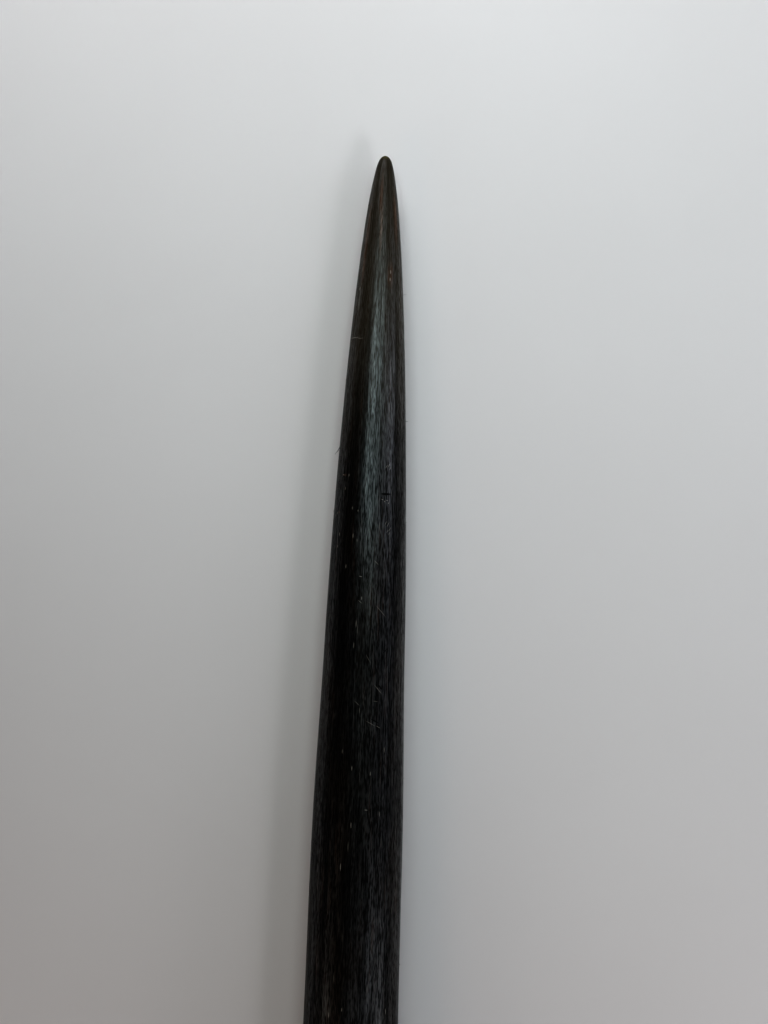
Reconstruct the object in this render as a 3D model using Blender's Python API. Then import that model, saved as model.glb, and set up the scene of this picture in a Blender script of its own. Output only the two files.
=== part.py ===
"""An oryx horn: one hollow keratin sheath, ringed over its lower half and smooth above, lying on its side.

Metres, +Z up. The base is at -Y and the tip at +Y, the front edge of the horn is towards -X, and the
origin is on the surface that the horn lies on, in the middle of the space that it takes up.
"""

import math

import bmesh
import bpy
import numpy as np
from mathutils import Vector

MM = 0.001

# The whole horn, measured along its bent centre line from the sawn base to the tip
LENGTH = 850 * MM
BEND = math.radians(9.0)  # how far the base is turned back from the tip
BEND_POWER = 2.5  # above 1, the bend is mostly near the base
THICKNESS_SHARE = 0.92  # side-to-side thickness, as a share of the front-to-back width

# Front-to-back width of the horn without its rings: distance from the tip, width
WIDTHS = (
    (0.0, 0.0),
    (1.2 * MM, 3.6 * MM),
    (8 * MM, 7.4 * MM),
    (29 * MM, 13.1 * MM),
    (98 * MM, 22.6 * MM),
    (153 * MM, 27.0 * MM),
    (181 * MM, 28.3 * MM),
    (236 * MM, 31.4 * MM),
    (292 * MM, 32.4 * MM),
    (420 * MM, 37.6 * MM),
    (600 * MM, 44.6 * MM),
    (850 * MM, 54.5 * MM),
)

# The growth rings, counted from the base
RINGED_LENGTH = 490 * MM
RING_GAP_AT_BASE = 13 * MM
RING_GAP_AT_TOP = 28 * MM
RING_HEIGHT = 2.3 * MM
RING_FLANK_TO_BASE = 0.13  # half width of a ring's steep side, as a share of the gap
RING_FLANK_TO_TIP = 0.22
RING_STRENGTH_AT_RIM = 0.5  # rings start this weak at the sawn base, as a share of their full height
RING_GROWS_OVER = 70 * MM
RING_FADE_POWER = 2  # above 1, the rings keep their height for long and then fade fast
RING_MORE_AT_FRONT = 0.2  # this much higher at the front edge, and as much lower at the back
RING_UNEVENNESS = ((2, 2.4, 0.1), (3, -5.1, 0.06))  # waves around, turn from ring to ring, share of height
RING_SLANT = 3.5 * MM  # a ring is this much nearer the base at the front, and further at the back
SLANT_STARTS_OVER = 40 * MM
SLANT_ENDS_FROM = 0.8  # the slant fades out from this share of the ringed length

# The socket that the bony core filled
SOCKET_DEPTH = 470 * MM
WALL_AT_RIM = 4.2 * MM
SOCKET_END_RADIUS = 1.5 * MM
WALL_POWER = 2.2  # the wall thickens slowly at first, then fast towards the socket's end

# Where the horn touches the surface that it lies on: a ring's crest, and the swelling of the smooth part.
# It settles a little over towards its front edge, which brings a second ring down to the surface.
RESTING_RING = 10.5
RESTING_SWELLING = LENGTH - 236 * MM
ROLL_AT_REST = math.radians(1.7)

# How finely the surface is cut into flat faces
SIDES = 28
RING_ROWS = (0.0, 0.26, 0.40, 0.52, 0.74)  # where the rows of faces cross one ring gap
SMOOTH_ROWS = 26
SOCKET_ROWS = 9
SOCKET_ROW_SPREAD = 0.8  # below 1, the rows are furthest apart at the rim
CENTRE_LINE_STEPS = 1700
SHARP_FROM = math.radians(50)  # edges that bend more than this are shaded as corners


def smooth_step(low, high, value):
    share = min(1.0, max(0.0, (value - low) / (high - low)))
    return share * share * (3 - 2 * share)


def slopes_through(xs, ys):
    """Slopes at the stations of a curve that never overshoots between two of them."""
    steps = np.diff(xs)
    rises = np.diff(ys) / steps
    slopes = np.empty(len(xs))
    slopes[0] = rises[0]
    slopes[-1] = rises[-1]
    for i in range(1, len(xs) - 1):
        before = 2 * steps[i] + steps[i - 1]
        after = steps[i] + 2 * steps[i - 1]
        slopes[i] = (before + after) / (before / rises[i - 1] + after / rises[i])
    return slopes


# Stations are spread by the square root of their distance, which makes the tip round
STATIONS = np.sqrt([distance for distance, _ in WIDTHS])
STATION_WIDTHS = np.array([width for _, width in WIDTHS])
STATION_SLOPES = slopes_through(STATIONS, STATION_WIDTHS)


def width_at(along):
    """Front-to-back width of the ringless horn, at a distance along the centre line from the base."""
    x = math.sqrt(max(0.0, LENGTH - along))
    i = min(len(STATIONS) - 2, max(0, int(np.searchsorted(STATIONS, x)) - 1))
    step = STATIONS[i + 1] - STATIONS[i]
    t = (x - STATIONS[i]) / step
    start = STATION_WIDTHS[i] * (1 + 2 * t) * (1 - t) ** 2 + STATION_SLOPES[i] * step * t * (1 - t) ** 2
    end = STATION_WIDTHS[i + 1] * t * t * (3 - 2 * t) - STATION_SLOPES[i + 1] * step * t * t * (1 - t)
    return float(start + end)


def heading_at(along):
    """Direction of the centre line, clockwise from +Y seen from above, before the chord is turned to +Y."""
    return BEND * (1 - (1 - np.asarray(along) / LENGTH) ** BEND_POWER)


def centre_line():
    """Points of the centre line, base first, turned so that the tip is straight ahead of the base."""
    along = np.linspace(0, LENGTH, CENTRE_LINE_STEPS + 1)
    middles = heading_at((along[1:] + along[:-1]) / 2)
    step = LENGTH / CENTRE_LINE_STEPS
    x = np.concatenate(([0], np.cumsum(np.sin(middles) * step)))
    y = np.concatenate(([0], np.cumsum(np.cos(middles) * step)))
    turn = math.atan2(x[-1], y[-1])
    points = np.stack([x * math.cos(turn) - y * math.sin(turn), x * math.sin(turn) + y * math.cos(turn)], 1)
    return along, points, turn


ALONG, CENTRES, CHORD_TURN = centre_line()


def frame_at(along):
    """The centre line's point, and the direction of the horn's front edge there."""
    centre = Vector((np.interp(along, ALONG, CENTRES[:, 0]), np.interp(along, ALONG, CENTRES[:, 1]), 0))
    heading = float(heading_at(along)) - CHORD_TURN
    front = Vector((-math.cos(heading), math.sin(heading), 0))
    return centre, front


def gap_growth():
    """How much longer each ring gap is than the one below it, as a share of the gap."""
    return (RING_GAP_AT_TOP - RING_GAP_AT_BASE) / RINGED_LENGTH


def ring_number(along):
    """Rings passed so far from the base, as a running number. A ring's crest is at each half."""
    return math.log(1 + gap_growth() * along / RING_GAP_AT_BASE) / gap_growth()


def along_of_ring(number):
    return RING_GAP_AT_BASE * (math.exp(number * gap_growth()) - 1) / gap_growth()


def ring_relief(along, angle):
    """How far the ring stands out of the horn here. Rings are strongest low on the horn and at its front."""
    if along >= RINGED_LENGTH:
        return 0.0
    number = ring_number(along)
    ring = math.floor(number)
    from_crest = number - ring - 0.5
    flank = RING_FLANK_TO_BASE if from_crest < 0 else RING_FLANK_TO_TIP
    ridge = math.exp(-((from_crest / flank) ** 2))
    grown = smooth_step(0, RING_GROWS_OVER, along)
    strength = RING_STRENGTH_AT_RIM + (1 - RING_STRENGTH_AT_RIM) * grown
    strength *= 1 - (along / RINGED_LENGTH) ** RING_FADE_POWER
    around = 1 - RING_MORE_AT_FRONT + RING_MORE_AT_FRONT * math.cos(angle)
    for waves, turn, share in RING_UNEVENNESS:
        around += share * math.sin(waves * angle + turn * ring)
    return RING_HEIGHT * strength * ridge * around


def section(along, width, relief, slant):
    """A closed row of points around the horn. It starts at the front edge and turns over the upper side."""
    row = []
    for side in range(SIDES):
        angle = 2 * math.pi * side / SIDES
        centre, front = frame_at(along - slant * math.cos(angle))
        half = width(along - slant * math.cos(angle)) / 2
        out = relief(along, angle)
        across = (half + out) * math.cos(angle)
        up = (half * THICKNESS_SHARE + out) * math.sin(angle)
        row.append(centre + front * across + Vector((0, 0, up)))
    return row


def socket_width_at(along):
    """Front-to-back width of the socket, inside a wall that thickens until it closes the socket."""
    half_at_end = width_at(SOCKET_DEPTH) / 2 - SOCKET_END_RADIUS
    share = (along / SOCKET_DEPTH) ** WALL_POWER
    wall = WALL_AT_RIM + (half_at_end - WALL_AT_RIM) * share
    return width_at(along) - 2 * wall


def outer_rows():
    """Rows of the outside, from the sawn base to just short of the tip."""
    ring_count = math.floor(ring_number(RINGED_LENGTH))
    low = [along_of_ring(ring + share) for ring in range(ring_count) for share in RING_ROWS]
    ringed_to = along_of_ring(ring_count)
    tip_root = math.sqrt(LENGTH - ringed_to)
    high = [LENGTH - (tip_root * (1 - i / SMOOTH_ROWS)) ** 2 for i in range(SMOOTH_ROWS)]
    rows = []
    for along in low + high:
        slant = RING_SLANT * smooth_step(0, SLANT_STARTS_OVER, along)
        slant *= 1 - smooth_step(SLANT_ENDS_FROM * ringed_to, ringed_to, along)
        rows.append(section(along, width_at, ring_relief, slant))
    return rows


def socket_rows():
    """Rows of the inside, from the rim to the socket's end."""
    shares = [i / (SOCKET_ROWS - 1) for i in range(SOCKET_ROWS)]
    depths = [SOCKET_DEPTH * share ** SOCKET_ROW_SPREAD for share in shares]
    return [section(depth, socket_width_at, lambda *_: 0.0, 0.0) for depth in depths]


def loft(bm, rows, start_point, end_point):
    """A skin over the rows of points, drawn to a single point at each end."""
    loops = [[bm.verts.new(point) for point in row] for row in rows]
    for below, above in zip(loops, loops[1:]):
        for i in range(SIDES):
            j = (i + 1) % SIDES
            bm.faces.new((below[i], below[j], above[j], above[i]))
    for loop, point in ((loops[0], start_point), (loops[-1], end_point)):
        pole = bm.verts.new(point)
        for i in range(SIDES):
            bm.faces.new((loop[i], loop[(i + 1) % SIDES], pole))


def keratin():
    material = bpy.data.materials.new("keratin")
    material.use_nodes = True
    shader = material.node_tree.nodes["Principled BSDF"]
    shader.inputs["Base Color"].default_value = (0.022, 0.016, 0.013, 1)
    shader.inputs["Roughness"].default_value = 0.42
    shader.inputs["Metallic"].default_value = 0.0
    return material


def horn_mesh():
    """The sheath in one skin: from the socket's end out to the rim, over the sawn face, and up to the tip."""
    bm = bmesh.new()
    rows = list(reversed(socket_rows())) + outer_rows()
    socket_end = frame_at(SOCKET_DEPTH + SOCKET_END_RADIUS)[0]
    tip = frame_at(LENGTH)[0]
    loft(bm, rows, socket_end, tip)
    bmesh.ops.recalc_face_normals(bm, faces=bm.faces)
    mesh = bpy.data.meshes.new("horn")
    bm.to_mesh(mesh)
    bm.free()
    return mesh


def lay_down(horn):
    """Tips the horn until a ring low down and the swelling of its smooth part both touch the surface."""
    ring = along_of_ring(RESTING_RING)
    drop = (width_at(ring) - width_at(RESTING_SWELLING)) * THICKNESS_SHARE / 2
    drop += ring_relief(ring, -math.pi / 2)
    pitch = math.atan2(drop, RESTING_SWELLING - ring)
    horn.rotation_euler = (-pitch, -ROLL_AT_REST, 0)
    turn = horn.rotation_euler.to_matrix()
    turned = [turn @ vertex.co for vertex in horn.data.vertices]
    low = Vector(map(min, *turned))
    high = Vector(map(max, *turned))
    horn.location = (-(low.x + high.x) / 2, -(low.y + high.y) / 2, -low.z)


def main():
    for old in list(bpy.data.objects):
        bpy.data.objects.remove(old)
    parts = bpy.data.collections.new("oryx_horn")
    bpy.context.scene.collection.children.link(parts)
    horn = bpy.data.objects.new("horn", horn_mesh())
    horn.data.materials.append(keratin())
    horn.data.shade_smooth()
    horn.data.set_sharp_from_angle(angle=SHARP_FROM)
    parts.objects.link(horn)
    lay_down(horn)


main()
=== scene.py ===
import math

import bpy
import numpy as np
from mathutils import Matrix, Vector


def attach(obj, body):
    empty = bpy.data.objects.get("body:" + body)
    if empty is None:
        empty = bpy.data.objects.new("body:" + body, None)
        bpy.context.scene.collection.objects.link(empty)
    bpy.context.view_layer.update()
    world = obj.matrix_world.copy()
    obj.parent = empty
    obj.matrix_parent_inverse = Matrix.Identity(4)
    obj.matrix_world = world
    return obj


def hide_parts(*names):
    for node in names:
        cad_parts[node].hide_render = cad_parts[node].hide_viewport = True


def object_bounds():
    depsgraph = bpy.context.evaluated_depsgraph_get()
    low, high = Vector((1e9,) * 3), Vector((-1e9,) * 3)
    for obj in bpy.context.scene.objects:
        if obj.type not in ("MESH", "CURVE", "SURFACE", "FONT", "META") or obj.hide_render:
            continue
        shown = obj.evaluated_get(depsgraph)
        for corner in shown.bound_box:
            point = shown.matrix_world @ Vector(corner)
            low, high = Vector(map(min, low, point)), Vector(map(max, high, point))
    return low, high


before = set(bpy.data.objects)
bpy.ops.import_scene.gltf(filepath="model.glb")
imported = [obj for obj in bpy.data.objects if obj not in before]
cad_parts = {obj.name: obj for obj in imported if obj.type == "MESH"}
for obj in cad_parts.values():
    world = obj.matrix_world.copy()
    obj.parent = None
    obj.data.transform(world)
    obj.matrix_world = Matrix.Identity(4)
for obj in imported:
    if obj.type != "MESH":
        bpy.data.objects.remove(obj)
cad_low, cad_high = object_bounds()

MM = 0.001

# The sheath: the whole horn is one hollow sheath of keratin, grown over a bony core that is gone.
# It is ringed over its lower half, smooth above, solid towards its blunt tip, and sawn off at its base.
# Its rows of points are turned around a flat half outline, then bent along the horn's centre line.

HORN_LENGTH = 850 * MM
BEND = math.radians(9.0)
BEND_POWER = 2.5
THICKNESS_SHARE = 0.92
PITCH_AT_REST = math.radians(1.2189)
ROLL_AT_REST = math.radians(1.7)

# Front-to-back width of the horn without its rings: distance from the tip, width
WIDTHS = (
    (0.0, 0.0),
    (1.2 * MM, 3.6 * MM),
    (8 * MM, 7.4 * MM),
    (29 * MM, 13.1 * MM),
    (98 * MM, 22.6 * MM),
    (153 * MM, 27.0 * MM),
    (181 * MM, 28.3 * MM),
    (236 * MM, 31.4 * MM),
    (292 * MM, 32.4 * MM),
    (420 * MM, 37.6 * MM),
    (600 * MM, 44.6 * MM),
    (850 * MM, 54.5 * MM),
)

RINGED_LENGTH = 490 * MM
RING_GAP_AT_BASE = 13 * MM
RING_GAP_AT_TOP = 28 * MM
RING_HEIGHT = 2.3 * MM
RING_FLANK_TO_BASE = 0.13
RING_FLANK_TO_TIP = 0.22
RING_STRENGTH_AT_RIM = 0.5
RING_GROWS_OVER = 70 * MM
RING_FADE_POWER = 2
RING_MORE_AT_FRONT = 0.2
RING_UNEVENNESS = ((2, 2.4, 0.1), (3, -5.1, 0.06))
RING_SLANT = 3.5 * MM
SLANT_STARTS_OVER = 40 * MM
SLANT_ENDS_FROM = 0.8

SOCKET_DEPTH = 470 * MM
WALL_AT_RIM = 4.2 * MM
SOCKET_END_RADIUS = 1.5 * MM
WALL_POWER = 2.2
RIM_ROUNDING = 0.35 * MM

# How finely the sheath is cut
SHEATH_SIDES = 144
RING_ZONE_ROW = 1.75 * MM
SMOOTH_ZONE_ROWS = 330
WALL_ROWS = 7
SOCKET_ROWS = 34
AXIS_STEPS = 850


def slopes_through(xs, ys):
    """Slopes at the stations of a curve that never overshoots between two of them."""
    steps = np.diff(xs)
    rises = np.diff(ys) / steps
    slopes = np.empty(len(xs))
    slopes[0] = rises[0]
    slopes[-1] = rises[-1]
    for i in range(1, len(xs) - 1):
        before = 2 * steps[i] + steps[i - 1]
        after = steps[i] + 2 * steps[i - 1]
        slopes[i] = (before + after) / (before / rises[i - 1] + after / rises[i])
    return slopes


# Stations are spread by the square root of their distance, which makes the tip round
STATIONS = np.sqrt([distance for distance, _ in WIDTHS])
STATION_WIDTHS = np.array([width for _, width in WIDTHS])
STATION_SLOPES = slopes_through(STATIONS, STATION_WIDTHS)


def width_at(along):
    """Front-to-back width of the ringless horn, at a distance along the centre line from the base."""
    x = math.sqrt(max(0.0, HORN_LENGTH - along))
    i = min(len(STATIONS) - 2, max(0, int(np.searchsorted(STATIONS, x)) - 1))
    step = STATIONS[i + 1] - STATIONS[i]
    t = (x - STATIONS[i]) / step
    start = STATION_WIDTHS[i] * (1 + 2 * t) * (1 - t) ** 2 + STATION_SLOPES[i] * step * t * (1 - t) ** 2
    end = STATION_WIDTHS[i + 1] * t * t * (3 - 2 * t) - STATION_SLOPES[i + 1] * step * t * t * (1 - t)
    return float(start + end)


def socket_width_at(along):
    """Front-to-back width of the socket, inside a wall that thickens until it closes the socket."""
    half_at_end = width_at(SOCKET_DEPTH) / 2 - SOCKET_END_RADIUS
    wall = WALL_AT_RIM + (half_at_end - WALL_AT_RIM) * (along / SOCKET_DEPTH) ** WALL_POWER
    return width_at(along) - 2 * wall


def half_outline():
    """The wall drawn flat, from the tip down the outside, across the sawn rim and up into the socket.

    Each point is (half width, distance along, layer). The layer is 0 outside, 1 on the rim and 2 inside.
    """
    tip_root = math.sqrt(HORN_LENGTH - RINGED_LENGTH)
    points = []
    for i in range(SMOOTH_ZONE_ROWS):
        along = HORN_LENGTH - (tip_root * i / SMOOTH_ZONE_ROWS) ** 2
        points.append((width_at(along) / 2, along, 0))
    ring_rows = round((RINGED_LENGTH - RIM_ROUNDING) / RING_ZONE_ROW)
    for i in range(ring_rows + 1):
        along = RINGED_LENGTH + (RIM_ROUNDING - RINGED_LENGTH) * i / ring_rows
        points.append((width_at(along) / 2, along, 0))
    outer = width_at(0) / 2
    inner = outer - WALL_AT_RIM
    points.append((outer - 0.3 * RIM_ROUNDING, 0.3 * RIM_ROUNDING, 0.5))
    for i in range(WALL_ROWS):
        share = i / (WALL_ROWS - 1)
        edge = RIM_ROUNDING * (1 - 2 * share)
        points.append((outer + (inner - outer) * share - edge, 0, 1))
    points.append((inner + 0.3 * RIM_ROUNDING, 0.3 * RIM_ROUNDING, 1.5))
    for i in range(SOCKET_ROWS):
        along = RIM_ROUNDING + (SOCKET_DEPTH - RIM_ROUNDING) * i / (SOCKET_ROWS - 1)
        points.append((socket_width_at(along) / 2, along, 2))
    points.append((0, SOCKET_DEPTH + SOCKET_END_RADIUS, 2))
    return points


class Field:
    """A value that varies over a surface. Arithmetic on fields adds Math nodes to their tree."""

    def __init__(self, tree, socket):
        self.tree = tree
        self.socket = socket

    def maths(self, operation, *values):
        made = self.tree.nodes.new("ShaderNodeMath")
        made.operation = operation
        for socket, value in zip(made.inputs, values):
            feed(socket, value)
        return Field(self.tree, made.outputs[0])

    def __add__(self, other):
        return self.maths("ADD", self, other)

    def __sub__(self, other):
        return self.maths("SUBTRACT", self, other)

    def __rsub__(self, other):
        return self.maths("SUBTRACT", other, self)

    def __mul__(self, other):
        return self.maths("MULTIPLY", self, other)

    def __truediv__(self, other):
        return self.maths("DIVIDE", self, other)

    def __rtruediv__(self, other):
        return self.maths("DIVIDE", other, self)

    def __pow__(self, other):
        return self.maths("POWER", self, other)

    __radd__ = __add__
    __rmul__ = __mul__

    def at_least(self, other):
        return self.maths("MAXIMUM", self, other)

    def at_most(self, other):
        return self.maths("MINIMUM", self, other)

    def over(self, other):
        return self.maths("GREATER_THAN", self, other)

    def floor(self):
        return self.maths("FLOOR", self)

    def size(self):
        return self.maths("ABSOLUTE", self)

    def sine(self):
        return self.maths("SINE", self)

    def cosine(self):
        return self.maths("COSINE", self)

    def exp(self):
        return self.maths("EXPONENT", self)

    def log(self):
        return self.maths("LOGARITHM", self, math.e)


def feed(socket, value):
    """Links a field into a socket, or sets the socket to a plain value."""
    if isinstance(value, Field):
        value.tree.links.new(value.socket, socket)
    else:
        socket.default_value = value


def node(tree, kind, values=(), **settings):
    """Adds a node with these settings, and feeds its inputs by their names."""
    made = tree.nodes.new(kind)
    for name, setting in settings.items():
        setattr(made, name, setting)
    for name, value in dict(values).items():
        feed(next(s for s in made.inputs if s.enabled and s.name == name), value)
    return made


def out_of(made, name=None):
    """The field that a node puts out, its first one if no name is given."""
    socket = next(s for s in made.outputs if s.enabled and name in (None, s.name))
    return Field(made.id_data, socket)


def new_tree(name, kind, inputs, outputs):
    """An empty tree with these named sockets: the tree, its inputs as fields, and its Group Output node."""
    tree = bpy.data.node_groups.new(name, kind)
    for socket_name, socket_type in inputs.items():
        tree.interface.new_socket(socket_name, in_out="INPUT", socket_type=socket_type)
    for socket_name, socket_type in outputs.items():
        tree.interface.new_socket(socket_name, in_out="OUTPUT", socket_type=socket_type)
    given = tree.nodes.new("NodeGroupInput")
    fields = {socket.name: Field(tree, socket) for socket in given.outputs if socket.name}
    return tree, fields, tree.nodes.new("NodeGroupOutput")


def vector(tree, x, y, z):
    return out_of(node(tree, "ShaderNodeCombineXYZ", {"X": x, "Y": y, "Z": z}))


def parts_of(tree, whole):
    split = node(tree, "ShaderNodeSeparateXYZ", {"Vector": whole})
    return [out_of(split, name) for name in "XYZ"]


def vectors(tree, operation, first, second):
    made = node(tree, "ShaderNodeVectorMath", operation=operation)
    feed(made.inputs[0], first)
    feed(made.inputs[3 if operation == "SCALE" else 1], second)
    return out_of(made)


def eased(tree, value, low, high, to_low=0.0, to_high=1.0):
    """Goes smoothly from one value to another while the field goes from low to high."""
    limits = {"Value": value, "From Min": low, "From Max": high, "To Min": to_low, "To Max": to_high}
    return out_of(node(tree, "ShaderNodeMapRange", limits, interpolation_type="SMOOTHSTEP"))


def noise(tree, where, scale, detail=2.0, roughness=0.5):
    """Smooth random values around 0.5."""
    values = {"Vector": where, "Scale": scale, "Detail": detail, "Roughness": roughness}
    return out_of(node(tree, "ShaderNodeTexNoise", values), "Fac")


def stretched(tree, where, across, lengthwise):
    """Fibre coordinates counted in grains of this width around the horn and this length along it."""
    return vectors(tree, "MULTIPLY", where, (1 / across, 1 / across, 1 / lengthwise))


# Fibre coordinates go around a circle of this radius, so the grain narrows with the horn
FIBRE_RADIUS = 12 * MM

# Relief that the growth and wear of the keratin leave in the surface
GROWTH_LINE_HEIGHT = 0.22 * MM
RIB_HEIGHT_LOW = 0.34 * MM
RIB_HEIGHT_HIGH = 0.05 * MM
SWELL_HEIGHT = 0.22 * MM
RIB_SHARE_OF_RINGS = 0.7  # the ribs raise and lower the rings by this share of themselves
SOCKET_RIB_DEPTH = 1.1 * MM
SAW_MARK_DEPTH = 0.25 * MM

MERGE_UNDER = 0.001 * MM
MESH_OUT = {"Mesh": "NodeSocketGeometry"}


def bent_axis(tree, length, bend, power):
    """The centre line as a curve, with the tip at zero and the sawn base straight behind it."""
    line = out_of(node(tree, "GeometryNodeMeshLine", {"Count": AXIS_STEPS + 1, "Offset": (0, 0, 0)}))
    index = out_of(node(tree, "GeometryNodeInputIndex"))
    share = (index + 0.5) / AXIS_STEPS
    heading = bend * (1 - (1 - share.at_most(1)) ** power)
    step = length / AXIS_STEPS
    x = out_of(node(tree, "GeometryNodeAccumulateField", {"Value": heading.sine() * step}), "Trailing")
    y = out_of(node(tree, "GeometryNodeAccumulateField", {"Value": heading.cosine() * step}), "Trailing")
    set_out = {"Geometry": line, "Position": vector(tree, x, y, 0)}
    line = out_of(node(tree, "GeometryNodeSetPosition", set_out))
    position = out_of(node(tree, "GeometryNodeInputPosition"))
    at_tip = {"Geometry": line, "Value": position, "Index": AXIS_STEPS}
    tip = out_of(node(tree, "GeometryNodeSampleIndex", at_tip, data_type="FLOAT_VECTOR"))
    tip_x, tip_y, _ = parts_of(tree, tip)
    turn = vector(tree, 0, 0, tip_x.maths("ARCTAN2", tip_x, tip_y))
    chord = out_of(node(tree, "ShaderNodeVectorMath", {"Vector": tip}, operation="LENGTH"), "Value")
    moved = {"Geometry": line, "Rotation": turn, "Translation": vector(tree, 0, chord * -1, 0)}
    line = out_of(node(tree, "GeometryNodeTransform", moved))
    return out_of(node(tree, "GeometryNodeMeshToCurve", {"Mesh": line}))


def ring_relief(tree, along, turn, wander, given):
    """How far the rings stand out, the running ring number, and how near a strong crest is, from 0 to 1.

    Rings are strongest low on the horn and at its front.
    """
    gap = given["Ring Gap at Base"]
    ringed = given["Ringed Length"]
    growth = (given["Ring Gap at Top"] - gap) / ringed
    number = (1 + growth * along / gap).log() / growth + wander
    ring = number.floor()
    from_crest = number - ring - 0.5
    flank = RING_FLANK_TO_BASE + from_crest.over(0) * (RING_FLANK_TO_TIP - RING_FLANK_TO_BASE)
    ridge = (0 - (from_crest / flank) ** 2).exp()
    strength = eased(tree, along, 0, RING_GROWS_OVER, RING_STRENGTH_AT_RIM, 1)
    strength = strength * (1 - (along / ringed).at_most(1) ** RING_FADE_POWER)
    from_front = turn + math.pi / 2
    around = 1 - RING_MORE_AT_FRONT + from_front.cosine() * RING_MORE_AT_FRONT
    for waves, shift, share in RING_UNEVENNESS:
        around = around + (from_front * waves + ring * shift).sine() * share
    return given["Ring Height"] * strength * ridge * around, number, ridge * strength


def stored(tree, geometry, name, value, kind):
    """The geometry with a named value kept on its points."""
    values = {"Geometry": geometry, "Name": name}
    saved = node(tree, "GeometryNodeStoreNamedAttribute", values, data_type=kind)
    feed(next(s for s in saved.inputs if s.enabled and s.name == "Value"), value)
    return out_of(saved)


def put_out(tree, given, result, geometry):
    """Ends a tree: its instances become real faces, and all of them get the material."""
    real = out_of(node(tree, "GeometryNodeRealizeInstances", {"Geometry": geometry}))
    dressed = node(tree, "GeometryNodeSetMaterial", {"Geometry": real, "Material": given["Material"]})
    feed(result.inputs["Mesh"], out_of(dressed))


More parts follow.
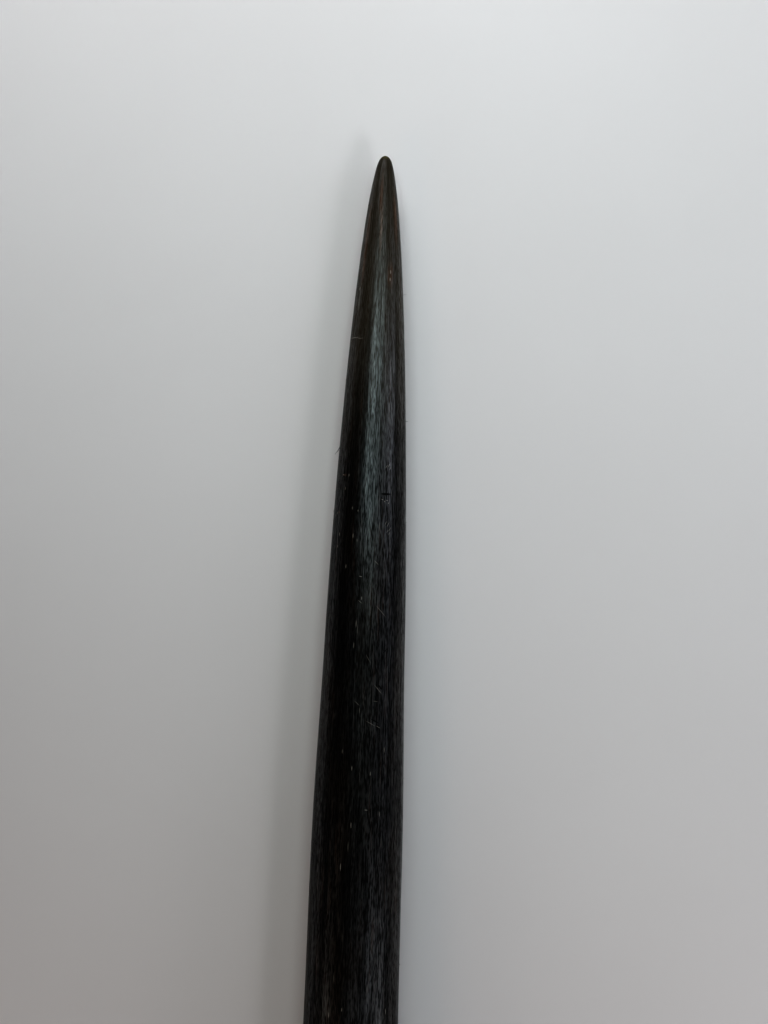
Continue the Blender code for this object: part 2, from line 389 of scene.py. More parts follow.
def sheath_tree():
    """Turns the flat half outline around, raises its rings and ribs, and bends it along the centre line."""
    inputs = {
        "Half Outline": "NodeSocketGeometry",
        "Sides": "NodeSocketInt",
        "Length": "NodeSocketFloat",
        "Bend": "NodeSocketFloat",
        "Bend Power": "NodeSocketFloat",
        "Thickness Share": "NodeSocketFloat",
        "Ringed Length": "NodeSocketFloat",
        "Ring Gap at Base": "NodeSocketFloat",
        "Ring Gap at Top": "NodeSocketFloat",
        "Ring Height": "NodeSocketFloat",
        "Ring Slant": "NodeSocketFloat",
        "Growth Line Height": "NodeSocketFloat",
        "Swell Height": "NodeSocketFloat",
        "Tip Place": "NodeSocketVector",
        "Lie": "NodeSocketVector",
        "Material": "NodeSocketMaterial",
    }
    tree, given, result = new_tree("horn sheath", "GeometryNodeTree", inputs, MESH_OUT)
    outline = given["Half Outline"]
    sides = given["Sides"]
    rows = out_of(node(tree, "GeometryNodeAttributeDomainSize", {"Geometry": outline}), "Point Count")
    grid = out_of(node(tree, "GeometryNodeMeshGrid", {"Vertices X": rows, "Vertices Y": sides + 1}), "Mesh")
    index = out_of(node(tree, "GeometryNodeInputIndex"))
    position = out_of(node(tree, "GeometryNodeInputPosition"))
    row = (index / (sides + 1)).floor()
    column = index - row * (sides + 1)
    at_row = {"Geometry": outline, "Value": position, "Index": row}
    drawn = out_of(node(tree, "GeometryNodeSampleIndex", at_row, data_type="FLOAT_VECTOR"))
    half, along_flat, layer = parts_of(tree, drawn)

    # The turn is 0 on the upper side, and grows towards the back of the horn
    turn = (column / sides - 0.5) * (2 * math.pi)
    to_front = turn.sine() * -1
    to_top = turn.cosine()
    outside = 1 - layer.at_most(1)
    inside = (layer - 1).at_least(0)

    slant = given["Ring Slant"] * eased(tree, along_flat, 0, SLANT_STARTS_OVER)
    ringed = given["Ringed Length"]
    slant = slant * eased(tree, along_flat, ringed * SLANT_ENDS_FROM, ringed, 1, 0)
    along = along_flat - slant * outside * to_front
    axis = bent_axis(tree, given["Length"], given["Bend"], given["Bend Power"])
    sampled = node(tree, "GeometryNodeSampleCurve", {"Curves": axis}, mode="LENGTH")
    feed(next(s for s in sampled.inputs if s.enabled and s.name == "Length"), along)
    centre = out_of(sampled, "Position")
    lengthwise = out_of(sampled, "Tangent")
    ahead_x, ahead_y, _ = parts_of(tree, lengthwise)
    front = vector(tree, ahead_y * -1, ahead_x, 0)
    fibre = vector(tree, to_front * FIBRE_RADIUS, to_top * FIBRE_RADIUS, along)

    # The rings wander a little, and finer growth lines run beside them
    wander = (noise(tree, stretched(tree, fibre, 16 * MM, 60 * MM), 1, 1) - 0.5) * 0.5
    rings, number, crest = ring_relief(tree, along_flat, turn, wander, given)
    low_down = eased(tree, along, 0.75 * RINGED_LENGTH, RINGED_LENGTH * 1.15, 1, 0)
    broken = noise(tree, stretched(tree, fibre, 3 * MM, 90 * MM), 1, 2)
    lines = noise(tree, vector(tree, number * 3.2, broken * 1.6, 0), 1, 3, 0.6) - 0.5
    lines = lines * given["Growth Line Height"] * 2 * low_down

    # Ribs and grooves follow the fibres; wide, shallow swellings spread along the smooth part
    rib_height = eased(tree, along, 0.3 * HORN_LENGTH, 0.75 * HORN_LENGTH, RIB_HEIGHT_LOW, RIB_HEIGHT_HIGH)
    ribs = noise(tree, stretched(tree, fibre, 1.9 * MM, 55 * MM), 1, 3, 0.6) - 0.5
    swells = noise(tree, stretched(tree, fibre, 11 * MM, 60 * MM), 1, 1) - 0.5
    ring_heights = rings * (1 + ribs * RIB_SHARE_OF_RINGS)
    relief = ring_heights + lines + ribs * rib_height + swells * given["Swell Height"]

    from_tip = given["Length"] - along
    socket_ribs = noise(tree, stretched(tree, fibre, 2.6 * MM, 80 * MM), 1, 4, 0.65) - 0.5
    relief = relief * outside + socket_ribs * inside * -SOCKET_RIB_DEPTH
    relief = relief * eased(tree, half, 0, 2.5 * MM)
    sawn = 1 - (layer - 1).size().at_most(1)
    saw_marks = noise(tree, vector(tree, half * to_front * 300, half * to_top * 1400, 0), 1, 2) - 0.5
    outward = vectors(tree, "SCALE", front, (half + relief) * to_front)
    upward = vector(tree, 0, 0, (half * given["Thickness Share"] + relief) * to_top)
    sawn_depth = vectors(tree, "SCALE", lengthwise, saw_marks * sawn * SAW_MARK_DEPTH)
    place = vectors(tree, "ADD", centre, outward)
    place = vectors(tree, "ADD", place, vectors(tree, "ADD", upward, sawn_depth))

    kept = {
        "fibre": fibre,
        "place": vector(tree, turn, from_tip, half),
        "growth": vector(tree, number, crest, layer),
        "lengthwise": lengthwise,
    }
    for name, value in kept.items():
        grid = stored(tree, grid, name, value, "FLOAT_VECTOR")
    shaped = out_of(node(tree, "GeometryNodeSetPosition", {"Geometry": grid, "Position": place}))
    closed = out_of(node(tree, "GeometryNodeMergeByDistance", {"Geometry": shaped, "Distance": MERGE_UNDER}))
    lie = {"Geometry": closed, "Rotation": given["Lie"], "Translation": given["Tip Place"]}
    laid = out_of(node(tree, "GeometryNodeTransform", lie))
    put_out(tree, given, result, out_of(node(tree, "GeometryNodeSetShadeSmooth", {"Geometry": laid})))
    return tree


def grown(name, mesh, tree, values):
    """An object whose plain mesh is what the tree makes of the given mesh with these inputs."""
    piece = bpy.data.objects.new(name, mesh)
    bpy.context.scene.collection.objects.link(piece)
    modifier = piece.modifiers.new(tree.name, "NODES")
    modifier.node_group = tree
    for item in tree.interface.items_tree:
        if item.in_out == "INPUT" and item.name in values:
            modifier[item.identifier] = values[item.name]
    evaluated = piece.evaluated_get(bpy.context.evaluated_depsgraph_get())
    plain = bpy.data.meshes.new_from_object(evaluated)
    piece.modifiers.clear()
    piece.data = plain
    plain.name = name
    return piece


def placed(tree, group, values, name=None):
    """What a node group puts out in this material, with these values."""
    return out_of(node(tree, "ShaderNodeGroup", values, node_tree=group), name)


def grain_counts(tree, given):
    """Fibre coordinates counted in grains of the group's own width and length."""
    across = 1 / given["Across"]
    return vectors(tree, "MULTIPLY", given["Fibre"], vector(tree, across, across, 1 / given["Lengthwise"]))


def grain_group():
    """Long, thin, random grain that follows the fibres and closes up towards the tip."""
    inputs = {
        "Fibre": "NodeSocketVector",
        "Across": "NodeSocketFloat",
        "Lengthwise": "NodeSocketFloat",
        "Detail": "NodeSocketFloat",
    }
    outputs = {"Grain": "NodeSocketFloat"}
    tree, given, result = new_tree("lengthwise grain", "ShaderNodeTree", inputs, outputs)
    feed(result.inputs["Grain"], noise(tree, grain_counts(tree, given), 1, given["Detail"], 0.6))
    return tree


def fleck_group():
    """Sparse short flecks where single fibre ends have lifted, each with its own strength."""
    inputs = {
        "Fibre": "NodeSocketVector",
        "Across": "NodeSocketFloat",
        "Lengthwise": "NodeSocketFloat",
        "Share": "NodeSocketFloat",
    }
    tree, given, result = new_tree("fibre flecks", "ShaderNodeTree", inputs, {"Flecks": "NodeSocketFloat"})
    cells = node(tree, "ShaderNodeTexVoronoi", {"Vector": grain_counts(tree, given), "Scale": 1})
    spot = eased(tree, out_of(cells, "Distance"), 0.12, 0.34, 1, 0)
    chance, strength, _ = parts_of(tree, out_of(cells, "Color"))
    feed(result.inputs["Flecks"], spot * chance.over(1 - given["Share"]) * strength)
    return tree


def mark_group():
    """One mark at a known place on the horn: a soft-edged, long ellipse that may lean across the fibres."""
    inputs = {
        "Place": "NodeSocketVector",
        "Turn": "NodeSocketFloat",
        "From Tip": "NodeSocketFloat",
        "Length": "NodeSocketFloat",
        "Width": "NodeSocketFloat",
        "Lean": "NodeSocketFloat",
        "Softness": "NodeSocketFloat",
    }
    tree, given, result = new_tree("mark", "ShaderNodeTree", inputs, {"Mask": "NodeSocketFloat"})
    turn, from_tip, half = parts_of(tree, given["Place"])
    across = (turn - given["Turn"]) * half
    down = from_tip - given["From Tip"]
    lean = given["Lean"]
    u = across * lean.cosine() - down * lean.sine()
    v = across * lean.sine() + down * lean.cosine()
    distance = ((u * 2 / given["Width"]) ** 2 + (v * 2 / given["Length"]) ** 2) ** 0.5
    feed(result.inputs["Mask"], eased(tree, distance, 1 - given["Softness"], 1, 1, 0))
    return tree


def mixed(tree, factor, first, second):
    """The first colour where the factor is 0, the second where it is 1."""
    values = {"Factor": factor, "A": first, "B": second}
    return out_of(node(tree, "ShaderNodeMix", values, data_type="RGBA"))


# Marks on the upper side: distance from the tip, turn from the top line, length, width and lean.
# A lean of zero follows the fibres, and a positive one goes down to the right.
RED_STREAKS = (
    (23.1, 51, 26, 2.6, 0),
    (33.5, -48, 36, 2.0, 0),
    (42.8, 29, 13, 3.2, 0),
    (14.5, -8, 22, 1.6, 0),
    (111.9, -47, 1.0, 3.2, 0),
    (124.7, -56, 1.0, 1.8, 0),
)
PALE_STREAKS_AND_HIGHLIGHT = (
    (20.5, 53, 22, 0.75, 0),
    # This streak on the top line is partly a painted highlight: pale-brown keratin with the light it catches
    # painted in
    (26.6, -1, 26, 1.3, 0),
    (21.5, -49, 13, 0.5, 0),
    (39.5, -48, 11, 0.45, 0),
)
SCRATCHES = (
    (62.1, -80, 2.0, 0.35, 20),
    (108.6, 27, 1.9, 0.28, -32),
    (108.3, 31, 2.2, 0.28, -32),
    (109.2, 34, 1.8, 0.25, -30),
    (127.8, 28, 2.6, 0.28, -28),
    (128.3, 32, 2.6, 0.28, -28),
    (129.9, 35, 2.4, 0.28, -32),
    (130.6, 31, 1.8, 0.25, -32),
    (131.4, 34, 1.6, 0.25, -30),
    (141.4, 15, 2.6, 0.32, 45),
    (157.7, 24, 7.0, 0.34, 44),
    (154.7, -7, 2.4, 0.32, 52),
    (183.9, 23, 5.4, 0.40, 42),
    (188.0, 20, 2.5, 0.30, 82),
    (188.8, -5, 3.2, 0.30, 48),
    (191.2, -1, 2.8, 0.30, 2),
    (195.4, 14, 5.0, 0.34, 62),
    (196.6, 25, 2.4, 0.34, 60),
    (173.8, 8, 4.0, 0.26, 30),
)
CUTS = (
    (118.0, 27, 5.4, 1.00, 90),
    (131.2, 66, 2.0, 0.50, 0),
    (170.9, 33, 3.9, 0.40, -45),
    (183.2, 26, 3.5, 0.70, 42),
    (194.6, 20, 4.5, 0.60, 62),
)
PALE_TICKS = (
    (41.6, 29, 1.9, 0.6, 0),
    (44.2, 28, 1.6, 0.6, 0),
    (47.4, -54, 1.8, 0.5, 0),
    (52.2, -51, 10, 0.26, 1),
    (64.5, -58, 7.6, 0.38, 90),
    (64.9, -36, 3.2, 0.25, 90),
    (111.9, -51, 1.3, 0.36, 75),
    (112.0, -38, 1.4, 0.40, 0),
    (119.9, 21, 1.0, 0.30, 70),
    (120.5, 25, 0.8, 0.34, 30),
    (120.1, 29, 1.0, 0.30, 75),
    (121.0, 32, 0.8, 0.34, -20),
    (122.6, -70, 1.2, 0.45, 10),
    (124.6, -76, 1.4, 0.40, 0),
    (125.8, -68, 1.0, 0.40, -20),
    (116.6, -44, 1.6, 0.40, 0),
    (123.2, -27, 1.5, 0.36, 0),
    (124.0, -17, 1.0, 0.40, 0),
    (125.0, -61, 1.2, 0.40, 0),
    (132.6, -23, 2.2, 0.38, 0),
    (134.0, -16, 1.4, 0.34, 0),
    (132.2, -50, 1.8, 0.40, 0),
    (136.4, -53, 1.2, 0.40, 0),
    (143.0, -32, 2.0, 0.44, 0),
    (146.2, -8, 1.4, 0.40, 80),
    (153.5, -5, 1.6, 0.35, 0),
    (162.2, -11, 3.2, 0.34, 0),
    (169.4, -13, 2.6, 0.34, 0),
    (205.2, -22, 1.9, 0.40, 0),
    (204.3, 35, 2.6, 0.36, 0),
    (210.6, -8, 2.0, 0.45, 0),
    (212.2, 16, 1.9, 0.36, 0),
    (229.5, -6, 2.6, 0.45, 0),
    (224.3, 12, 1.5, 0.38, 88),
    (225.7, 30, 2.4, 0.34, 0),
    (243.7, -17, 3.4, 0.38, 0),
    (292.3, 48, 2.6, 0.45, 0),
    (293.1, -25, 2.4, 0.42, 0),
    (290.8, -9, 1.6, 0.45, 0),
)
TIP_END = 1.8 * MM

# Colours of the keratin
BLACK_KERATIN = (0.0020, 0.0018, 0.0017, 1)
# Painted shade inside the cuts, darker than the black keratin
PAINTED_CUT_SHADE = (0.0006, 0.0005, 0.0005, 1)
BROWN_KERATIN = (0.037, 0.030, 0.021, 1)
WARM_DEPTH = (0.0052, 0.0032, 0.0018, 1)
RED_KERATIN = (0.076, 0.036, 0.018, 1)
# Pale keratin of the streaks, also used for a painted highlight on the top line near the tip
PALE_KERATIN_AND_HIGHLIGHT = (0.155, 0.092, 0.062, 1)
OLIVE_TIP = (0.085, 0.072, 0.022, 1)
DRY_FIBRE = (0.062, 0.056, 0.050, 1)
PALE_FIBRE = (0.42, 0.38, 0.33, 1)
VALLEY_DUST = (0.135, 0.115, 0.092, 1)
WORN_CREST = (0.046, 0.035, 0.026, 1)
SAWN_WALL = (0.105, 0.078, 0.052, 1)
SAWN_SKIN = (0.018, 0.013, 0.010, 1)
SOCKET_WALL = (0.130, 0.095, 0.062, 1)
SOCKET_STAIN = (0.034, 0.022, 0.014, 1)


def marks(tree, group, place, table, softness):
    """The strongest of several marks at each point."""
    total = None
    for from_tip, turn, length, width, lean in table:
        values = {
            "Place": place,
            "Turn": math.radians(turn),
            "From Tip": from_tip * MM,
            "Length": length * MM,
            "Width": width * MM,
            "Lean": math.radians(lean),
            "Softness": softness,
        }
        mask = placed(tree, group, values)
        total = mask if total is None else total.at_least(mask)
    return total


def grained(tree, fibre, across, lengthwise, detail):
    """Grain of this width and length, in millimetres."""
    values = {"Fibre": fibre, "Across": across * MM, "Lengthwise": lengthwise * MM, "Detail": detail}
    return placed(tree, grain, values)


grain = grain_group()
flecks = fleck_group()
mark = mark_group()

# The polish: a thin coat over keratin that hardly shines by itself
KERATIN_IOR = 1.12
COAT_IOR = 1.8
COAT_ROUGHNESS = 0.32
SMOOTHEST = 0.18
ROUGHEST = 0.9


def dress_keratin(material):
    """Near-black keratin: fibrous, worn and scratched, with translucent red-brown streaks near the tip."""
    tree = material.node_tree
    tree.nodes.clear()
    fibre = out_of(node(tree, "ShaderNodeAttribute", attribute_name="fibre"), "Vector")
    place = out_of(node(tree, "ShaderNodeAttribute", attribute_name="place"), "Vector")
    growth = out_of(node(tree, "ShaderNodeAttribute", attribute_name="growth"), "Vector")
    turn, from_tip, half = parts_of(tree, place)
    _, crest, layer = parts_of(tree, growth)
    outside = 1 - layer.at_most(1)
    ring_zone = eased(tree, from_tip, HORN_LENGTH - RINGED_LENGTH, HORN_LENGTH - 0.7 * RINGED_LENGTH)
    bundles = grained(tree, fibre, 2.6, 70, 2)
    strands = grained(tree, fibre, 1.1, 22, 2)
    fibres = grained(tree, fibre, 0.24, 9, 2)
    specks = grained(tree, fibre, 0.30, 2.6, 1)
    patches = grained(tree, fibre, 9, 45, 3)

    # Body colour: black low down, browner towards the tip, with a warm depth in places
    tipward = eased(tree, from_tip, 125 * MM, 35 * MM) * (0.55 + bundles * 0.9)
    colour = mixed(tree, eased(tree, patches, 0.45, 0.7), BLACK_KERATIN, WARM_DEPTH)
    colour = mixed(tree, tipward, colour, BROWN_KERATIN)
    red = marks(tree, mark, place, RED_STREAKS, 0.8) * (0.3 + eased(tree, strands, 0.36, 0.6) * 0.7)
    # Pale streaks: pale keratin lines, and on the top line near the tip partly a painted highlight
    pale_and_highlight = marks(tree, mark, place, PALE_STREAKS_AND_HIGHLIGHT, 0.8) * (0.2 + eased(tree, specks, 0.4, 0.6) * 0.8)
    colour = mixed(tree, red * 0.85, colour, RED_KERATIN)
    colour = mixed(tree, pale_and_highlight * 0.75, colour, PALE_KERATIN_AND_HIGHLIGHT)
    colour = mixed(tree, eased(tree, from_tip, TIP_END, 0.3 * TIP_END) * 0.8, colour, OLIVE_TIP)

    # Dry fibres, lifted flecks and scratches on the surface
    hairlines = grained(tree, fibre, 0.30, 14, 1)
    dry = eased(tree, hairlines + (strands - 0.5) * 0.5, 0.58, 0.74)
    dry = dry * eased(tree, from_tip, 20 * MM, 110 * MM, 0.3, 1)
    dry_colour = mixed(tree, eased(tree, bundles, 0.4, 0.6), DRY_FIBRE, RED_KERATIN)
    colour = mixed(tree, dry * 0.26 * outside, colour, dry_colour)
    lifted = placed(tree, flecks, {"Fibre": fibre, "Across": 0.6 * MM, "Lengthwise": 7 * MM, "Share": 0.06})
    lifted = lifted * eased(tree, from_tip, 60 * MM, 150 * MM)
    ticks = marks(tree, mark, place, PALE_TICKS, 0.6) * (0.4 + fibres)
    scratched = marks(tree, mark, place, SCRATCHES, 0.7) * (0.3 + fibres)
    colour = mixed(tree, (lifted * 0.22).at_least(ticks * 0.5) * outside, colour, PALE_FIBRE)
    colour = mixed(tree, scratched * 0.42 * outside, colour, PALE_FIBRE)
    cut = marks(tree, mark, place, CUTS, 0.6)
    # The cuts are painted almost black, darker than the keratin around them: painted shade in their recesses
    colour = mixed(tree, cut * 0.9 * outside, colour, PAINTED_CUT_SHADE)

    # Rings: dust settles between them, and their crests are worn smooth and browner
    hollow = 1 - eased(tree, crest, 0.02, 0.45)
    dust = hollow * ring_zone * eased(tree, strands + (patches - 0.5) * 0.8, 0.35, 0.75)
    colour = mixed(tree, dust * 0.62 * outside, colour, VALLEY_DUST)
    worn = eased(tree, crest, 0.45, 0.95) * eased(tree, bundles, 0.4, 0.7)
    colour = mixed(tree, worn * 0.6 * outside, colour, WORN_CREST)

    # The sawn wall shows its growth layers, and the socket the rough print of the core
    layers = noise(tree, vector(tree, half * 3200, turn * 0.6, 0), 1, 3)
    wall = mixed(tree, eased(tree, layers, 0.35, 0.65), SAWN_SKIN, SAWN_WALL)
    stained = eased(tree, bundles + (patches - 0.5) * 0.9, 0.35, 0.7)
    socket = mixed(tree, stained, SOCKET_WALL, SOCKET_STAIN)
    colour = mixed(tree, eased(tree, layer, 0.2, 0.7), colour, wall)
    colour = mixed(tree, eased(tree, layer, 1.3, 1.8), colour, socket)

    rough_fibres = eased(tree, fibres + (specks - 0.5) * 0.6 + (strands - 0.5) * 0.3, 0.38, 0.62)
    rough_fibres = rough_fibres * eased(tree, from_tip, 8 * MM, 80 * MM, 0.3, 1)
    roughness = 0.17 + rough_fibres * 0.30 + dust * 0.3 + scratched * 0.12 + cut * 0.5
    roughness = roughness + eased(tree, from_tip, 120 * MM, 320 * MM) * 0.08 + layer.at_most(1) * 0.3
    roughness = roughness - worn * 0.1 + eased(tree, from_tip, 5 * MM, 1 * MM) * 0.25

    # Polished fibres catch the light as thin lines. The horn is duller between them, on its front flank
    # and at its tip.
    shine = eased(tree, fibres * 0.55 + specks * 0.45, 0.41, 0.60) * (1 - dust) * (1 - cut) * 0.9 + 0.1
    shine = shine * eased(tree, strands * 0.5 + bundles * 0.5, 0.38, 0.60, 0.4, 1)
    off_flank = (turn + math.radians(95)).size()
    dull = eased(tree, off_flank, math.radians(20), math.radians(50), 0.45, 1)
    dull = dull * eased(tree, from_tip, 1 * MM, 9 * MM, 0.2, 1)
    shine = (shine * dull).at_least(worn * 0.7) * outside

    # Heights are in millimetres
    height = fibres * 0.09 + specks * 0.07 + strands * 0.08 + bundles * 0.16 + lifted * 0.05 + ticks * 0.05
    height = height * eased(tree, from_tip, 5 * MM, 120 * MM, 0.35, 1) - scratched * 0.05 - cut * 0.35
    bump = node(tree, "ShaderNodeBump", {"Strength": 1, "Distance": MM, "Height": height})

    polish = {"IOR": KERATIN_IOR, "Coat IOR": COAT_IOR, "Coat Roughness": COAT_ROUGHNESS}
    shader = node(tree, "ShaderNodeBsdfPrincipled", polish)
    feed(shader.inputs["Base Color"], colour)
    feed(shader.inputs["Coat Weight"], shine)
    feed(shader.inputs["Roughness"], roughness.at_least(SMOOTHEST).at_most(ROUGHEST))
    feed(shader.inputs["Normal"], out_of(bump))
    surface = node(tree, "ShaderNodeOutputMaterial")
    tree.links.new(shader.outputs["BSDF"], surface.inputs["Surface"])


keratin = bpy.data.materials.new("keratin")
keratin.use_nodes = True
dress_keratin(keratin)
outline_mesh = bpy.data.meshes.new("half_outline")
outline_mesh.from_pydata([Vector(point) for point in half_outline()], [], [])
tip = max((vertex.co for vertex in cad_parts["horn"].data.vertices), key=lambda co: co.y)
sheath_values = {
    "Sides": SHEATH_SIDES,
    "Length": HORN_LENGTH,
    "Bend": BEND,
    "Bend Power": BEND_POWER,
    "Thickness Share": THICKNESS_SHARE,
    "Ringed Length": RINGED_LENGTH,
    "Ring Gap at Base": RING_GAP_AT_BASE,
    "Ring Gap at Top": RING_GAP_AT_TOP,
    "Ring Height": RING_HEIGHT,
    "Ring Slant": RING_SLANT,
    "Growth Line Height": GROWTH_LINE_HEIGHT,
    "Swell Height": SWELL_HEIGHT,
    "Tip Place": tip,
    "Lie": (-PITCH_AT_REST, -ROLL_AT_REST, 0),
    "Material": keratin,
}
sheath = grown("horn_sheath", outline_mesh, sheath_tree(), sheath_values)
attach(sheath, "root")
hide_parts("horn")

# Frayed fibres: single keratin fibres that have split from the surface and are still fixed at one end.
# They are thick at the root and thin at the free end, lie close to the grain, and there are more low down.

FRAYED_PER_SQUARE_METRE = 9000
FRAYED_LENGTH = 1.7 * MM
FRAYED_RADIUS = 0.055 * MM
FRAYED_LIFT = 0.34
FRAYED_FROM_TIP = 75 * MM
FRAYED_FULL_FROM_TIP = 320 * MM
FRAYED_SHARE_NEAR_TIP = 0.1
FRAYED_IOR = 1.45


def kept_value(tree, name, kind):
    """A named value that an earlier tree kept on the points."""
    read = node(tree, "GeometryNodeInputNamedAttribute", {"Name": name}, data_type=kind)
    return out_of(read, "Attribute")


def chance(tree, low, high, seed):
    """A random number between two limits for each point."""
    return out_of(node(tree, "FunctionNodeRandomValue", {"Min": low, "Max": high, "Seed": seed}))


def frayed_tree():
    """Scatters thin slivers over the outside of the sheath and lays them along its grain."""
    inputs = {
        "Sheath": "NodeSocketGeometry",
        "Density": "NodeSocketFloat",
        "Length": "NodeSocketFloat",
        "Root Radius": "NodeSocketFloat",
        "Lift": "NodeSocketFloat",
        "Seed": "NodeSocketInt",
        "Material": "NodeSocketMaterial",
    }
    tree, given, result = new_tree("frayed fibres", "GeometryNodeTree", inputs, MESH_OUT)
    _, from_tip, _ = parts_of(tree, kept_value(tree, "place", "FLOAT_VECTOR"))
    _, _, layer = parts_of(tree, kept_value(tree, "growth", "FLOAT_VECTOR"))
    fibre = kept_value(tree, "fibre", "FLOAT_VECTOR")
    clumps = eased(tree, noise(tree, stretched(tree, fibre, 5 * MM, 22 * MM), 1, 2), 0.42, 0.68)
    low_down = eased(tree, from_tip, FRAYED_FROM_TIP, FRAYED_FULL_FROM_TIP, FRAYED_SHARE_NEAR_TIP, 1)
    density = given["Density"] * low_down * clumps
    values = {"Mesh": given["Sheath"], "Density": density * (1 - layer.at_most(1)), "Seed": given["Seed"]}
    scattered = node(tree, "GeometryNodeDistributePointsOnFaces", values)
    lengthwise = kept_value(tree, "lengthwise", "FLOAT_VECTOR")
    either_way = chance(tree, 0, 1, 3).over(0.4) * 2 - 1
    lift = given["Lift"] * chance(tree, 0.15, 1, 4) ** 2
    away = vectors(tree, "SCALE", out_of(scattered, "Normal"), lift)
    sideways = vectors(tree, "CROSS_PRODUCT", lengthwise, away)
    aside = vectors(tree, "SCALE", sideways, chance(tree, -1.5, 1.5, 5))
    heading = vectors(tree, "ADD", vectors(tree, "SCALE", lengthwise, either_way), away)
    heading = vectors(tree, "ADD", heading, aside)
    turned = out_of(node(tree, "FunctionNodeAlignRotationToVector", {"Vector": heading}, axis="Z"))
    shape = {"Vertices": 3, "Side Segments": 2, "Radius Top": 0}
    shape.update({"Radius Bottom": given["Root Radius"], "Depth": given["Length"]})
    sliver = out_of(node(tree, "GeometryNodeMeshCone", shape), "Mesh")
    _, _, height = parts_of(tree, out_of(node(tree, "GeometryNodeInputPosition")))
    sliver = stored(tree, sliver, "share", height / given["Length"], "FLOAT")
    size = chance(tree, 0.35, 1.0, 6) + chance(tree, 0, 1, 7) ** 4
    planted = {"Points": out_of(scattered, "Points"), "Instance": sliver, "Rotation": turned}
    planted["Scale"] = size
    put_out(tree, given, result, out_of(node(tree, "GeometryNodeInstanceOnPoints", planted)))
    return tree


FRAYED_ROOT = (0.0060, 0.0048, 0.0038, 1)
FRAYED_END = (0.150, 0.118, 0.085, 1)


def dress_frayed(material):
    """Dry keratin fibre: dark at the root, paler and duller at its free end, each a little different."""
    tree = material.node_tree
    shader = tree.nodes["Principled BSDF"]
    share = out_of(node(tree, "ShaderNodeAttribute", attribute_name="share"), "Fac")
    where = out_of(node(tree, "ShaderNodeTexCoord"), "Object")
    uneven = noise(tree, where, 900, 2)
    paleness = eased(tree, share + (uneven - 0.5) * 1.6, 0.1, 1.0)
    feed(shader.inputs["Base Color"], mixed(tree, paleness, FRAYED_ROOT, FRAYED_END))
    feed(shader.inputs["Roughness"], 0.42 + paleness * 0.25)
    shader.inputs["IOR"].default_value = FRAYED_IOR


frayed_keratin = bpy.data.materials.new("frayed_keratin")
frayed_keratin.use_nodes = True
dress_frayed(frayed_keratin)
frayed_values = {
    "Density": FRAYED_PER_SQUARE_METRE,
    "Length": FRAYED_LENGTH,
    "Root Radius": FRAYED_RADIUS,
    "Lift": FRAYED_LIFT,
    "Seed": 11,
    "Material": frayed_keratin,
}
frayed = grown("frayed_fibres", sheath.data.copy(), frayed_tree(), frayed_values)
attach(frayed, "root")

# Loose hairs: a few longer fibres and torn nubs that stand out from the two edges of the smooth part.
# Each is a thin thread on a short bent path, rooted just under the surface.

# Distance from the tip, turn from the top line, reach outwards and towards the base, root thickness
LOOSE_HAIRS = (
    (101.6, -80, 1.9, 3.6, 0.27),
    (102.9, -84, 0.9, 1.3, 0.12),
    (92.6, 82, 1.2, 0.2, 0.20),
    (48.6, 84, 1.4, -0.1, 0.10),
    (116.4, -84, 0.5, 1.0, 0.16),
    (123.3, -86, 0.6, 1.6, 0.26),
    (126.5, -80, 0.7, 0.6, 0.14),
    (127.6, 84, 0.6, 0.3, 0.12),
    (277.5, 84, 0.6, 1.2, 0.30),
)
HAIR_STEPS = 9
HAIR_ROOT_UNDER = 0.25 * MM


def outside_points(mesh):
    """Places of the sheath's points, and their outward and lengthwise directions, as rows of numbers."""
    count = len(mesh.vertices)
    table = {}
    for name in ("place", "growth", "lengthwise"):
        table[name] = np.empty(count * 3)
        mesh.attributes[name].data.foreach_get("vector", table[name])
    table["spot"] = np.empty(count * 3)
    mesh.vertices.foreach_get("co", table["spot"])
    table["outward"] = np.empty(count * 3)
    mesh.vertices.foreach_get("normal", table["outward"])
    table = {name: values.reshape(-1, 3) for name, values in table.items()}
    outer = table["growth"][:, 2] < 0.01
    return {name: values[outer] for name, values in table.items()}


def hair_paths(table):
    """Points and edges of the hairs' centre lines, and a root thickness for each point."""
    points = []
    edges = []
    thickness = []
    turns, from_tips, halves = table["place"].T
    half = np.median(halves)
    for from_tip, turn, outwards, basewards, thick in LOOSE_HAIRS:
        far = (from_tips - from_tip * MM) ** 2 + ((turns - math.radians(turn)) * half) ** 2
        nearest = int(np.argmin(far))
        spot = Vector(table["spot"][nearest])
        outward = Vector(table["outward"][nearest])
        lengthwise = Vector(table["lengthwise"][nearest])
        for step in range(HAIR_STEPS):
            share = step / (HAIR_STEPS - 1)
            reach = outwards * MM * share ** 1.4 - HAIR_ROOT_UNDER
            if step:
                edges.append((len(points) - 1, len(points)))
            points.append(spot + outward * reach - lengthwise * (basewards * MM * share))
            thickness.append(thick * MM / 2)
    return points, edges, thickness


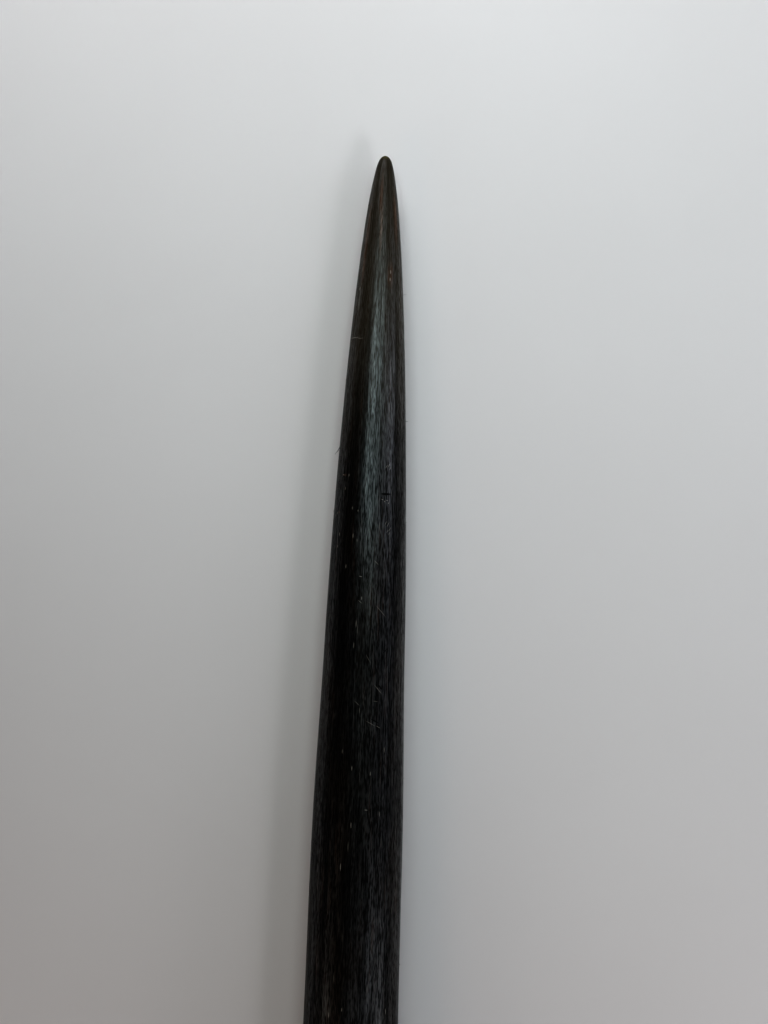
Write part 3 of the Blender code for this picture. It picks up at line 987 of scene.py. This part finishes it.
def hair_tree():
    """Draws a tapering thread along each centre line."""
    inputs = {"Paths": "NodeSocketGeometry", "Sides": "NodeSocketInt", "Material": "NodeSocketMaterial"}
    tree, given, result = new_tree("loose hairs", "GeometryNodeTree", inputs, MESH_OUT)
    lines = out_of(node(tree, "GeometryNodeMeshToCurve", {"Mesh": given["Paths"]}))
    share = out_of(node(tree, "GeometryNodeSplineParameter"), "Factor")
    lines = stored(tree, lines, "share", share, "FLOAT")
    round_thread = {"Resolution": given["Sides"], "Radius": 1}
    ring = out_of(node(tree, "GeometryNodeCurvePrimitiveCircle", round_thread))
    thick = kept_value(tree, "thickness", "FLOAT") * (1 - share * 0.75)
    drawn = {"Curve": lines, "Profile Curve": ring, "Scale": thick, "Fill Caps": True}
    put_out(tree, given, result, out_of(node(tree, "GeometryNodeCurveToMesh", drawn)))
    return tree


path_points, path_edges, path_thickness = hair_paths(outside_points(sheath.data))
path_mesh = bpy.data.meshes.new("hair_paths")
path_mesh.from_pydata(path_points, path_edges, [])
path_mesh.attributes.new("thickness", "FLOAT", "POINT").data.foreach_set("value", path_thickness)
hairs = grown("loose_hairs", path_mesh, hair_tree(), {"Sides": 6, "Material": frayed_keratin})
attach(hairs, "root")

# The floor: a wide, plain, pale sheet of matt paper under the horn.
# Away from the horn it runs out, without an edge, into the pale background.

FLOOR_SIZE = 8.0
DARKER_PAPER = (0.708, 0.670, 0.658, 1)
LIGHTER_PAPER = (0.728, 0.690, 0.678, 1)
PALE_BACKGROUND = (0.455, 0.458, 0.465, 1)
RUN_OUT_FROM = 0.145
RUN_OUT_TO = 0.24


def floor_material(half_horn):
    """Off-white paper, a little uneven in tone. Far from the horn's length the eye sees the background."""
    material = bpy.data.materials.new("pale_paper")
    material.use_nodes = True
    tree = material.node_tree
    shader = tree.nodes["Principled BSDF"]
    where = out_of(node(tree, "ShaderNodeTexCoord"), "Object")
    mottle = noise(tree, where, 6, 3)
    tone = mixed(tree, eased(tree, mottle, 0.3, 0.7), DARKER_PAPER, LIGHTER_PAPER)
    feed(shader.inputs["Base Color"], tone)
    shader.inputs["Roughness"].default_value = 0.9
    shader.inputs["Specular IOR Level"].default_value = 0.15
    x, y, _ = parts_of(tree, where)
    beyond_end = (y.size() - half_horn).at_least(0)
    far = (x ** 2 + beyond_end ** 2) ** 0.5
    seen = out_of(node(tree, "ShaderNodeLightPath"), "Is Camera Ray")
    glow = node(tree, "ShaderNodeEmission", {"Color": PALE_BACKGROUND, "Strength": 1})
    both = node(tree, "ShaderNodeMixShader", {"Fac": eased(tree, far, RUN_OUT_FROM, RUN_OUT_TO) * seen})
    tree.links.new(shader.outputs["BSDF"], both.inputs[1])
    tree.links.new(glow.outputs["Emission"], both.inputs[2])
    tree.links.new(both.outputs["Shader"], tree.nodes["Material Output"].inputs["Surface"])
    return material


half_floor = FLOOR_SIZE / 2
floor_mesh = bpy.data.meshes.new("floor")
corners = [(-half_floor, -half_floor, 0), (half_floor, -half_floor, 0)]
corners += [(half_floor, half_floor, 0), (-half_floor, half_floor, 0)]
floor_mesh.from_pydata(corners, [], [(0, 1, 2, 3)])
floor_mesh.materials.append(floor_material(cad_high[1]))
floor = bpy.data.objects.new("floor", floor_mesh)
bpy.context.scene.collection.objects.link(floor)

# The light: a soft key beyond the tip, three narrow pale blue panels in a row overhead with a warm patch of
# ceiling beside them, and a window and a wall low at the right. Two sweeps grade the floor's tone.
# Fills and cards light the ringed half, outside the camera's view. Behind them the room is dark.


def panel(name, towards, place, width, height, watts, tint, spread=180):
    """A soft rectangular light that faces a point, with its height along the horn and its width across it.

    Its light fans out by the spread, in degrees.
    """
    light = bpy.data.lights.new(name, "AREA")
    light.shape = "RECTANGLE"
    light.size = width
    light.size_y = height
    light.energy = watts
    light.color = tint
    light.spread = math.radians(spread)
    lamp = bpy.data.objects.new(name, light)
    lamp.location = place
    ahead = (Vector(towards) - Vector(place)).normalized()
    lamp.rotation_euler = (math.asin(ahead.y), math.atan2(-ahead.x, -ahead.z), 0)
    bpy.context.scene.collection.objects.link(lamp)


ROOM_LIGHT = 0.018

shown_middle = (0, 0.30, 0.015)
ringed_middle = (0, -0.36, 0.02)
panel("key", (-0.10, 0.78, 0), (-0.12, 1.04, 0.40), 0.60, 0.25, 1.55, (0.95, 0.955, 0.99), 100)
for side, x in (("left", -0.33), ("middle", 0), ("right", 0.33)):
    panel("overhead_" + side, (0.03, 0.47, 0), (x, 0.66, 1.35), 0.33, 0.25, 0.098, (0.76, 0.94, 0.96), 40)
panel("upper_right", (0.42, 0.34, 0), (0.80, 0.53, 1.00), 0.50, 0.20, 0.15, (0.84, 0.93, 1.0), 70)
panel("ceiling", (0.06, 0.32, 0), (0.06, 0.32, 1.35), 1.10, 0.36, 0.20, (1.0, 0.85, 0.64))
panel("right_window", shown_middle, (1.15, 0.53, 0.60), 0.62, 0.20, 1.4, (0.84, 0.90, 1.0))
panel("right_wall", shown_middle, (1.2, 0.12, 0.45), 0.60, 0.60, 0.28, (0.84, 0.90, 1.0))
panel("right_sweep", (0.45, 0.26, 0), (0.80, -0.50, 0.90), 0.40, 0.40, 0.62, (0.91, 0.95, 1.0), 50)
panel("left_sweep", (-0.25, 0.12, 0), (-0.75, -0.55, 0.80), 0.40, 0.40, 0.06, (1.0, 0.50, 0.20), 56)
panel("left_fill", (0, -0.46, 0), (-0.70, -0.95, 0.70), 0.50, 0.30, 0.28, (1.0, 0.80, 0.64), 64)
panel("right_fill", (0, -0.45, 0), (0.75, -0.95, 0.65), 0.50, 0.30, 0.22, (0.95, 0.97, 1.0), 70)
panel("right_card", ringed_middle, (0.95, -0.58, 0.45), 0.35, 0.60, 0.40, (0.95, 0.97, 1.0), 60)
panel("left_card", ringed_middle, (-0.95, -0.60, 0.45), 0.35, 0.60, 0.40, (1.0, 0.95, 0.88), 60)
panel("base_card", ringed_middle, (0.05, -0.56, 1.30), 0.90, 0.34, 0.48, (0.95, 0.97, 1.0), 42)

world = bpy.data.worlds.new("room")
world.use_nodes = True
bpy.context.scene.world = world
room = world.node_tree
seen = out_of(node(room, "ShaderNodeLightPath"), "Is Camera Ray")
dark_room = tuple(ROOM_LIGHT * share for share in (0.95, 0.97, 1.0)) + (1,)
feed(room.nodes["Background"].inputs["Color"], mixed(room, seen, dark_room, PALE_BACKGROUND))

# The camera: it looks straight down on the upper third of the horn, whose tip points up the picture.
# The picture's lower edge cuts the horn off. The camera is rolled an eighth of a degree to match.

CAMERA_LENS = 50
CAMERA_ABOVE_AXIS = 491.5 * MM
AXIS_HEIGHT = 13.5 * MM
CENTRE_BELOW_TIP = 123.95 * MM
CENTRE_LEFT_OF_TIP = 0.78 * MM
CAMERA_ROLL = -0.0022

camera = bpy.data.objects.new("camera", bpy.data.cameras.new("camera"))
camera.data.lens = CAMERA_LENS
camera.location = (tip.x - CENTRE_LEFT_OF_TIP, tip.y - CENTRE_BELOW_TIP, AXIS_HEIGHT + CAMERA_ABOVE_AXIS)
camera.rotation_euler = (0, 0, CAMERA_ROLL)
camera.data.clip_start = 10 * MM
bpy.context.scene.collection.objects.link(camera)
bpy.context.scene.camera = camera
bpy.context.scene.view_settings.view_transform = "Standard"
bpy.context.scene.view_settings.look = "High Contrast"
